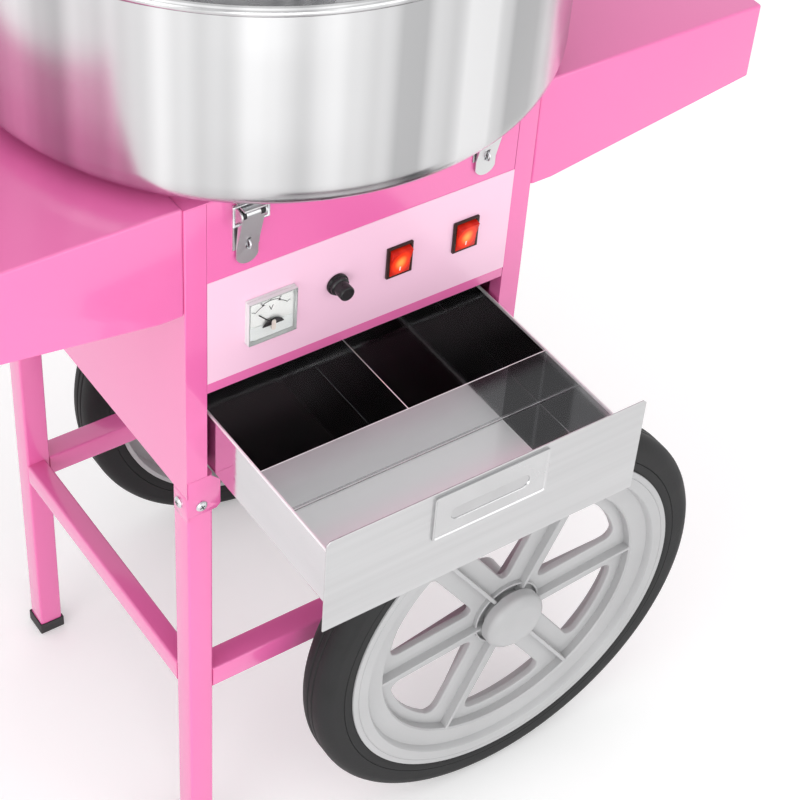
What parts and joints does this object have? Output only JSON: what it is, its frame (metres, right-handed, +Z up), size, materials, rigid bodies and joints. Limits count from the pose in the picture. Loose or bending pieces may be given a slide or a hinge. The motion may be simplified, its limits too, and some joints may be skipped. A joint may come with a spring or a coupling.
{
  "type": "cotton candy cart",
  "caption": "Sheet-metal sweet cart on tube legs and large wheels, with a spinner bowl held by draw latches, a control panel, folding-edge side shelves and a pull-out drawer.",
  "frame": {"origin": "middle of the whole box on the floor, with the drawer pulled out as in the picture", "axes": "+X along the cart towards its wheels, +Y towards the back, +Z up; the control panel faces -Y"},
  "size_m": [0.8946, 0.6369, 1.007],
  "materials": {
    "pink_paint": "gloss powder coat",
    "pale_decal": "plain printed film",
    "stainless": "brushed stainless",
    "plated_steel": "zinc plated",
    "grey_plastic": "moulded, satin",
    "tyre": "solid rubber",
    "black_rubber": "matte",
    "pale_plastic": "moulded",
    "dial_white": "printed dial",
    "clear_cover": "clear plastic",
    "black_plastic": "moulded",
    "red_lens": "tinted and lit",
    "cast_alloy": "machined",
    "slip_brass": "machined",
    "heater_steel": "heat-tinted",
    "motor_paint": "grey enamel"
  },
  "bodies": {
    "cart": {"left_side_panel": "pink_paint", "right_side_panel": "pink_paint", "front_panel": "pink_paint", "back_panel": "pink_paint", "deck": "pink_paint", "machine_floor": "pink_paint", "control_decal": "pale_decal", "drawer_runners": "plated_steel", "left_shelf": "pink_paint", "right_shelf": "pink_paint", "left_legs": "pink_paint", "right_legs": "pink_paint", "lower_rails": "pink_paint", "corner_brackets": "pink_paint", "frame_bolts": "plated_steel", "leg_feet": "black_rubber", "axle": "plated_steel", "axle_washers": "plated_steel", "push_handle": "pink_paint", "handle_grip": "black_rubber", "meter_body": "pale_plastic", "meter_dial": "dial_white", "meter_cover": "clear_cover", "speed_pot": "black_plastic", "switch_housings": "black_plastic", "latch_bases": "stainless", "bowl_catches": "stainless", "bowl": "stainless", "bowl_seat": "black_rubber", "bearing_housing": "cast_alloy", "spindle_bearings": "plated_steel", "brush_gear": "black_plastic", "motor": "motor_paint", "drive_belt": "black_rubber", "cable_gland": "black_plastic"},
    "drawer": {"drawer_box": "stainless", "drawer_dividers": "stainless", "drawer_front": "stainless", "drawer_pull": "stainless"},
    "front_wheel_set": {"front_wheel": "grey_plastic", "front_tyre": "tyre", "front_hub_cap": "grey_plastic"},
    "back_wheel_set": {"back_wheel": "grey_plastic", "back_tyre": "tyre", "back_hub_cap": "grey_plastic"},
    "knob": {"speed_knob": "black_plastic"},
    "left_switch_rocker": {"left_rocker": "red_lens"},
    "right_switch_rocker": {"right_rocker": "red_lens"},
    "needle": {"meter_needle": "black_plastic"},
    "left_lever": {"left_latch_lever": "stainless"},
    "right_lever": {"right_latch_lever": "stainless"},
    "left_bail": {"left_latch_bail": "plated_steel"},
    "right_bail": {"right_latch_bail": "plated_steel"},
    "spinner": {"spindle": "plated_steel", "spindle_pulley": "cast_alloy", "slip_rings": "slip_brass", "spinner_head": "stainless", "heater_ring": "heater_steel", "head_cap": "stainless"},
    "motor_rotor": {"motor_pulley": "cast_alloy"}
  },
  "joints": [
    {"name": "drawer_slide", "type": "slide", "parent": "cart", "child": "drawer", "axis": [0, -1, 0], "range_m": [-0.191, 0.05]},
    {"name": "front_wheel_turn", "type": "hinge", "parent": "cart", "child": "front_wheel_set", "pos_m": [0.19325, -0.16, 0.226], "axis": [0, -1, 0], "continuous": true},
    {"name": "back_wheel_turn", "type": "hinge", "parent": "cart", "child": "back_wheel_set", "pos_m": [0.19325, 0.269, 0.226], "axis": [0, -1, 0], "continuous": true},
    {"name": "knob_turn", "type": "hinge", "parent": "cart", "child": "knob", "pos_m": [0.01025, -0.1239, 0.684], "axis": [0, 1, 0], "range_deg": [-150, 150]},
    {"name": "left_switch_tip", "type": "hinge", "parent": "cart", "child": "left_switch_rocker", "pos_m": [0.07175, -0.1224, 0.6845], "axis": [1, 0, 0], "range_deg": [-20, 0]},
    {"name": "right_switch_tip", "type": "hinge", "parent": "cart", "child": "right_switch_rocker", "pos_m": [0.13975, -0.1224, 0.6845], "axis": [1, 0, 0], "range_deg": [-20, 0]},
    {"name": "needle_swing", "type": "hinge", "parent": "cart", "child": "needle", "pos_m": [-0.05475, -0.1274, 0.6735], "axis": [0, 1, 0], "range_deg": [0, 90]},
    {"name": "left_lever_lift", "type": "hinge", "parent": "cart", "child": "left_lever", "pos_m": [-0.07775, -0.1325, 0.798], "axis": [-1, 0, 0], "range_deg": [0, 110]},
    {"name": "right_lever_lift", "type": "hinge", "parent": "cart", "child": "right_lever", "pos_m": [0.15225, -0.1325, 0.798], "axis": [-1, 0, 0], "range_deg": [0, 110]},
    {"name": "left_bail_swing", "type": "hinge", "parent": "left_lever", "child": "left_bail", "pos_m": [-0.07775, -0.1313, 0.789], "axis": [-1, 0, 0], "range_deg": [-110, 0]},
    {"name": "right_bail_swing", "type": "hinge", "parent": "right_lever", "child": "right_bail", "pos_m": [0.15225, -0.1313, 0.789], "axis": [-1, 0, 0], "range_deg": [-110, 0]},
    {"name": "spinner_spin", "type": "hinge", "parent": "cart", "child": "spinner", "pos_m": [0.03725, 0.0545, 0.8], "axis": [0, 0, 1], "continuous": true},
    {"name": "motor_spin", "type": "hinge", "parent": "cart", "child": "motor_rotor", "pos_m": [0.03725, 0.1595, 0.7], "axis": [0, 0, 1], "continuous": true}
  ],
  "couplings": [
    {"joint": "left_bail_swing", "follows": "left_lever_lift", "ratio": -1},
    {"joint": "right_bail_swing", "follows": "right_lever_lift", "ratio": -1},
    {"joint": "motor_spin", "follows": "spinner_spin", "ratio": 2}
  ]
}
